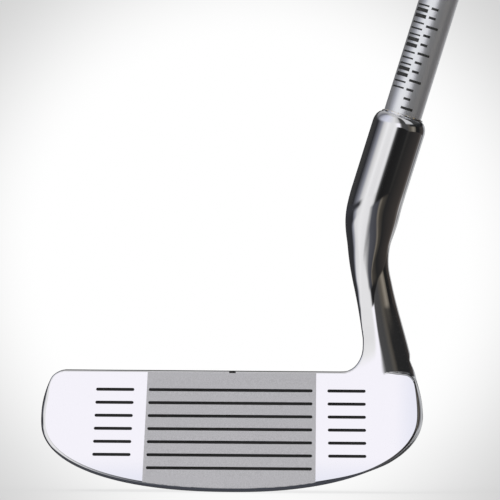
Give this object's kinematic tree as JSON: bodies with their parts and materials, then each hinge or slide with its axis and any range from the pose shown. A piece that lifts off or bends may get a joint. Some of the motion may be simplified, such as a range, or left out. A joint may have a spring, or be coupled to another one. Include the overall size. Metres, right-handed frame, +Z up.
{
  "type": "blade putter",
  "caption": "Right-handed blade putter with a one-piece polished steel head, swan-neck hosel, black-filled face grooves, steel shaft and flat-front rubber grip.",
  "frame": {"origin": "on the ground, below the middle of the face's leading edge, with the club soled as it is at address", "axes": "-Y is the way the face looks (the target line), -X is towards the toe, +X towards the heel and the shaft, +Z up"},
  "size_m": [0.3335, 0.0375, 0.8528],
  "materials": {
    "head_steel": "mirror polished, with a bead-blasted panel in the middle of the face",
    "groove_paint": "satin black paint fill",
    "shaft_chrome": "satin chrome",
    "print_ink": "satin black ink",
    "epoxy": "cured resin",
    "plug": "matt",
    "tape": "paper-backed adhesive tape",
    "grip_rubber": "matt, fine pattern",
    "cap_plastic": "satin"
  },
  "bodies": {
    "root": {"club_head": "head_steel", "centre_groove_paint": "groove_paint", "toe_groove_paint": "groove_paint", "heel_groove_paint": "groove_paint", "sight_notch_paint": "groove_paint", "shaft": "shaft_chrome", "shaft_print": "print_ink", "epoxy_bond": "epoxy", "tip_plug": "plug", "grip_tape": "tape", "grip": "grip_rubber", "grip_cap": "cap_plastic"}
  },
  "joints": []
}
